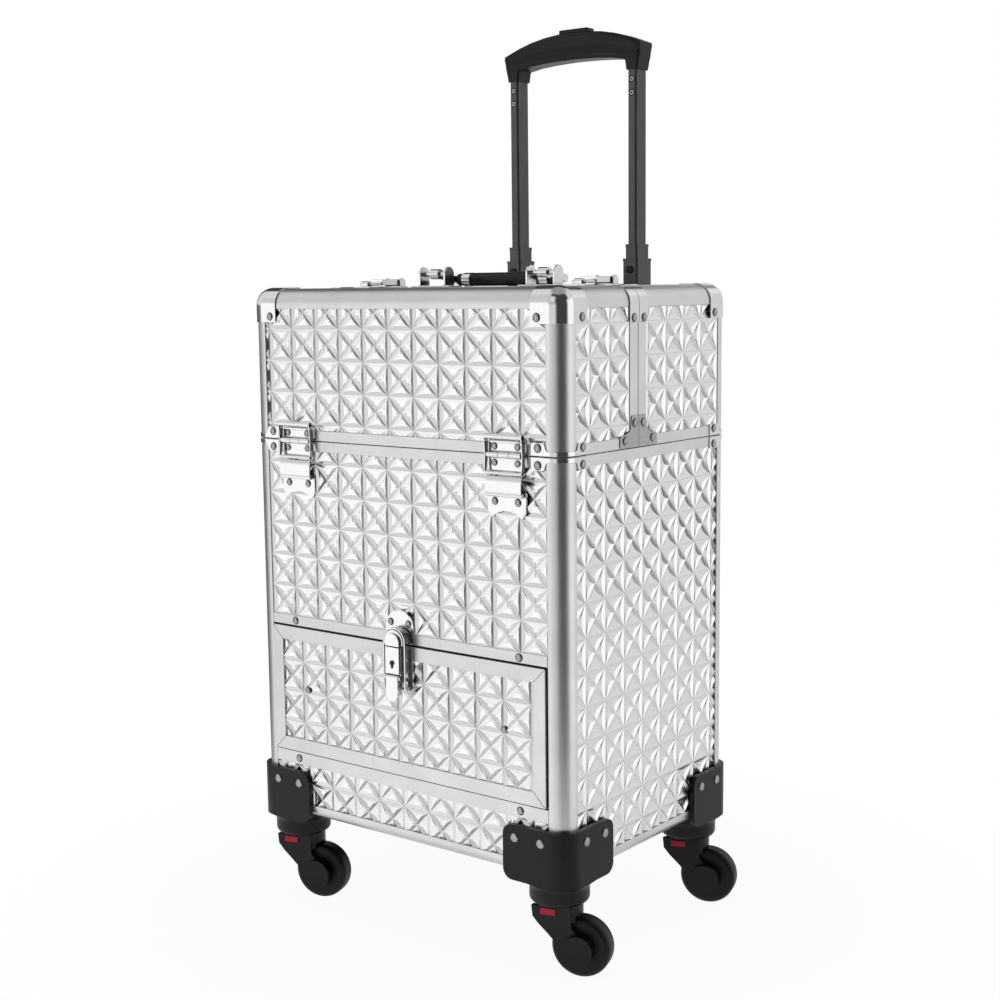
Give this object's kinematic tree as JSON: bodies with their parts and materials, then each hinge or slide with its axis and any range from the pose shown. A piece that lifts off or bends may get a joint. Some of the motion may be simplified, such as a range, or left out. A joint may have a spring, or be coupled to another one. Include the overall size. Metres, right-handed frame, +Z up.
{
  "type": "makeup train case",
  "caption": "Rolling aluminium-framed case with star-embossed panels, a front drawer, a split hinged top over cantilever trays, and a telescopic pull handle.",
  "frame": {"origin": "on the floor, below the centre of the whole object's box", "axes": "+X to the case's right seen from its front, +Y from the front to the back, +Z up, along the longest side"},
  "size_m": [0.3662, 0.2868, 0.7917],
  "materials": {
    "satin_aluminium": "satin anodised extrusion",
    "star_panel": "silver star-embossed covering sheet on board",
    "board_grey": "laminated board, dark grey inside",
    "zinc_steel": "zinc-plated steel",
    "nickel_plate": "bright nickel plate",
    "black_plastic": "moulded, fine grain",
    "black_tube": "anodised dark grey tube",
    "tray_plastic": "moulded",
    "drawer_plastic": "moulded drawer box",
    "rubber_tyre": "castor tread",
    "red_plastic": "release tab",
    "grip_vinyl": "padded grip"
  },
  "bodies": {
    "case": {"base_frame": "satin_aluminium", "drawer_rails": "satin_aluminium", "base_panels": "star_panel", "floor_boards": "board_grey", "runner_channels": "zinc_steel", "tray_brackets": "zinc_steel", "corner_plates": "nickel_plate", "base_rivets": "nickel_plate", "castor_housings": "black_plastic", "trolley_outer_tubes": "black_tube", "trolley_brackets": "black_plastic", "drawer_keeper": "nickel_plate", "latch_plates": "nickel_plate", "rear_top_frame": "satin_aluminium", "rear_top_panels": "star_panel", "rear_corner_caps": "nickel_plate", "toggle_bases": "nickel_plate", "handle_brackets": "nickel_plate"},
    "front_top": {"front_top_frame": "satin_aluminium", "front_top_panels": "star_panel", "front_corner_caps": "nickel_plate", "hinge_leaves": "nickel_plate", "toggle_keepers": "nickel_plate", "front_rivets": "nickel_plate"},
    "latch_frame_left": {"latch_frame_left": "nickel_plate"},
    "latch_frame_right": {"latch_frame_right": "nickel_plate"},
    "latch_lever_left": {"latch_lever_left": "nickel_plate"},
    "latch_lever_right": {"latch_lever_right": "nickel_plate"},
    "toggle_lever_left": {"toggle_lever_left": "nickel_plate"},
    "toggle_lever_right": {"toggle_lever_right": "nickel_plate"},
    "toggle_loop_left": {"toggle_loop_left": "nickel_plate"},
    "toggle_loop_right": {"toggle_loop_right": "nickel_plate"},
    "drawer": {"drawer_box": "drawer_plastic", "drawer_front_frame": "satin_aluminium", "drawer_panel": "star_panel", "drawer_latch_plate": "nickel_plate"},
    "drawer_latch_lever": {"drawer_latch_lever": "nickel_plate"},
    "drawer_bail": {"drawer_bail": "nickel_plate"},
    "carry_handle": {"carry_handle": "nickel_plate", "handle_grip": "grip_vinyl"},
    "tray_arms_front": {"tray_arms_front": "zinc_steel"},
    "tray_arms_rear": {"tray_arms_rear": "zinc_steel"},
    "tray_lower": {"tray_lower": "tray_plastic"},
    "tray_upper": {"tray_upper": "tray_plastic"},
    "trolley_mid": {"trolley_mid": "black_tube"},
    "trolley_inner": {"trolley_inner": "black_tube", "trolley_grip": "black_plastic"},
    "trolley_button": {"trolley_button": "black_plastic"},
    "fork_fl": {"castor_fork_fl": "black_plastic"},
    "wheel_fl": {"castor_wheel_fl": "rubber_tyre"},
    "tab_fl": {"castor_button_fl": "red_plastic"},
    "fork_fr": {"castor_fork_fr": "black_plastic"},
    "wheel_fr": {"castor_wheel_fr": "rubber_tyre"},
    "tab_fr": {"castor_button_fr": "red_plastic"},
    "fork_rl": {"castor_fork_rl": "black_plastic"},
    "wheel_rl": {"castor_wheel_rl": "rubber_tyre"},
    "tab_rl": {"castor_button_rl": "red_plastic"},
    "fork_rr": {"castor_fork_rr": "black_plastic"},
    "wheel_rr": {"castor_wheel_rr": "rubber_tyre"},
    "tab_rr": {"castor_button_rr": "red_plastic"}
  },
  "joints": [
    {"name": "front_top_hinge", "type": "hinge", "parent": "case", "child": "front_top", "pos_m": [-0.00736, -0.1336, 0.42545], "axis": [1, 0, 0], "range_deg": [0, 95]},
    {"name": "latch_frame_left_hinge", "type": "hinge", "parent": "front_top", "child": "latch_frame_left", "pos_m": [-0.12236, -0.1349, 0.43985], "axis": [1, 0, 0], "range_deg": [-95, 0]},
    {"name": "latch_lever_left_hinge", "type": "hinge", "parent": "case", "child": "latch_lever_left", "pos_m": [-0.12236, -0.1342, 0.39445], "axis": [1, 0, 0], "range_deg": [0, 150]},
    {"name": "latch_frame_right_hinge", "type": "hinge", "parent": "front_top", "child": "latch_frame_right", "pos_m": [0.10764, -0.1349, 0.43985], "axis": [1, 0, 0], "range_deg": [-95, 0]},
    {"name": "latch_lever_right_hinge", "type": "hinge", "parent": "case", "child": "latch_lever_right", "pos_m": [0.10764, -0.1342, 0.39445], "axis": [1, 0, 0], "range_deg": [0, 150]},
    {"name": "toggle_lever_left_hinge", "type": "hinge", "parent": "case", "child": "toggle_lever_left", "pos_m": [-0.12586, 0.0036, 0.5613], "axis": [-1, 0, 0], "range_deg": [0, 100]},
    {"name": "toggle_loop_left_hinge", "type": "hinge", "parent": "front_top", "child": "toggle_loop_left", "pos_m": [-0.12586, -0.0359, 0.5599], "axis": [1, 0, 0], "range_deg": [0, 60]},
    {"name": "toggle_lever_right_hinge", "type": "hinge", "parent": "case", "child": "toggle_lever_right", "pos_m": [0.11114, 0.0036, 0.5613], "axis": [-1, 0, 0], "range_deg": [0, 100]},
    {"name": "toggle_loop_right_hinge", "type": "hinge", "parent": "front_top", "child": "toggle_loop_right", "pos_m": [0.11114, -0.0359, 0.5599], "axis": [1, 0, 0], "range_deg": [0, 60]},
    {"name": "drawer_slide", "type": "slide", "parent": "case", "child": "drawer", "axis": [0, -1, 0], "range_m": [0, 0.19]},
    {"name": "drawer_lever_hinge", "type": "hinge", "parent": "drawer", "child": "drawer_latch_lever", "pos_m": [-0.00736, -0.1409, 0.232], "axis": [-1, 0, 0], "range_deg": [0, 90]},
    {"name": "drawer_bail_hinge", "type": "hinge", "parent": "drawer_latch_lever", "child": "drawer_bail", "pos_m": [-0.00736, -0.1404, 0.2225], "axis": [1, 0, 0], "range_deg": [0, 90]},
    {"name": "carry_handle_hinge", "type": "hinge", "parent": "case", "child": "carry_handle", "pos_m": [-0.00736, -0.0054, 0.5682], "axis": [1, 0, 0], "range_deg": [0, 90]},
    {"name": "tray_arms_front_hinge", "type": "hinge", "parent": "case", "child": "tray_arms_front", "pos_m": [-0.00736, -0.0944, 0.4122], "axis": [1, 0, 0], "range_deg": [0, 92]},
    {"name": "tray_arms_rear_hinge", "type": "hinge", "parent": "case", "child": "tray_arms_rear", "pos_m": [-0.00736, -0.0444, 0.4122], "axis": [1, 0, 0], "range_deg": [0, 92]},
    {"name": "tray_lower_hinge", "type": "hinge", "parent": "tray_arms_front", "child": "tray_lower", "pos_m": [-0.00736, -0.0498, 0.45527], "axis": [1, 0, 0], "range_deg": [-92, 0]},
    {"name": "tray_upper_hinge", "type": "hinge", "parent": "tray_arms_front", "child": "tray_upper", "pos_m": [-0.00736, -0.01671, 0.48722], "axis": [1, 0, 0], "range_deg": [-92, 0]},
    {"name": "trolley_mid_slide", "type": "slide", "parent": "case", "child": "trolley_mid", "axis": [0, 0, 1], "range_m": [0, 0.19]},
    {"name": "trolley_inner_slide", "type": "slide", "parent": "trolley_mid", "child": "trolley_inner", "axis": [0, 0, 1], "range_m": [-0.153, 0]},
    {"name": "trolley_button_slide", "type": "slide", "parent": "trolley_inner", "child": "trolley_button", "axis": [0, 0, -1], "range_m": [0, 0.003], "stiffness_N_per_m": 500, "springref_m": -0.002},
    {"name": "castor_fl_swivel", "type": "hinge", "parent": "case", "child": "fork_fl", "pos_m": [-0.15336, -0.1064, 0.061], "axis": [0, 0, 1], "continuous": true},
    {"name": "castor_fl_wheel", "type": "hinge", "parent": "fork_fl", "child": "wheel_fl", "pos_m": [-0.13423, -0.10055, 0.025], "axis": [-0.2924, 0.9563, 0], "continuous": true},
    {"name": "castor_fl_release", "type": "slide", "parent": "fork_fl", "child": "tab_fl", "axis": [-0.2924, 0.9563, 0], "range_m": [0, 0.0015], "stiffness_N_per_m": 500, "springref_m": -0.002},
    {"name": "castor_fr_swivel", "type": "hinge", "parent": "case", "child": "fork_fr", "pos_m": [0.13864, -0.1064, 0.061], "axis": [0, 0, 1], "continuous": true},
    {"name": "castor_fr_wheel", "type": "hinge", "parent": "fork_fr", "child": "wheel_fr", "pos_m": [0.15776, -0.10055, 0.025], "axis": [-0.2924, 0.9563, 0], "continuous": true},
    {"name": "castor_fr_release", "type": "slide", "parent": "fork_fr", "child": "tab_fr", "axis": [-0.2924, 0.9563, 0], "range_m": [0, 0.0015], "stiffness_N_per_m": 500, "springref_m": -0.002},
    {"name": "castor_rl_swivel", "type": "hinge", "parent": "case", "child": "fork_rl", "pos_m": [-0.15336, 0.0926, 0.061], "axis": [0, 0, 1], "continuous": true},
    {"name": "castor_rl_wheel", "type": "hinge", "parent": "fork_rl", "child": "wheel_rl", "pos_m": [-0.13423, 0.09845, 0.025], "axis": [-0.2924, 0.9563, 0], "continuous": true},
    {"name": "castor_rl_release", "type": "slide", "parent": "fork_rl", "child": "tab_rl", "axis": [-0.2924, 0.9563, 0], "range_m": [0, 0.0015], "stiffness_N_per_m": 500, "springref_m": -0.002},
    {"name": "castor_rr_swivel", "type": "hinge", "parent": "case", "child": "fork_rr", "pos_m": [0.13864, 0.0926, 0.061], "axis": [0, 0, 1], "continuous": true},
    {"name": "castor_rr_wheel", "type": "hinge", "parent": "fork_rr", "child": "wheel_rr", "pos_m": [0.15776, 0.09845, 0.025], "axis": [-0.2924, 0.9563, 0], "continuous": true},
    {"name": "castor_rr_release", "type": "slide", "parent": "fork_rr", "child": "tab_rr", "axis": [-0.2924, 0.9563, 0], "range_m": [0, 0.0015], "stiffness_N_per_m": 500, "springref_m": -0.002}
  ],
  "couplings": [
    {"joint": "latch_frame_left_hinge", "follows": "front_top_hinge", "ratio": -1},
    {"joint": "latch_frame_right_hinge", "follows": "front_top_hinge", "ratio": -1},
    {"joint": "drawer_bail_hinge", "follows": "drawer_lever_hinge", "ratio": 1},
    {"joint": "tray_arms_front_hinge", "follows": "front_top_hinge", "ratio": 0.968},
    {"joint": "tray_arms_rear_hinge", "follows": "front_top_hinge", "ratio": 0.968},
    {"joint": "tray_lower_hinge", "follows": "front_top_hinge", "ratio": -0.968},
    {"joint": "tray_upper_hinge", "follows": "front_top_hinge", "ratio": -0.968}
  ]
}
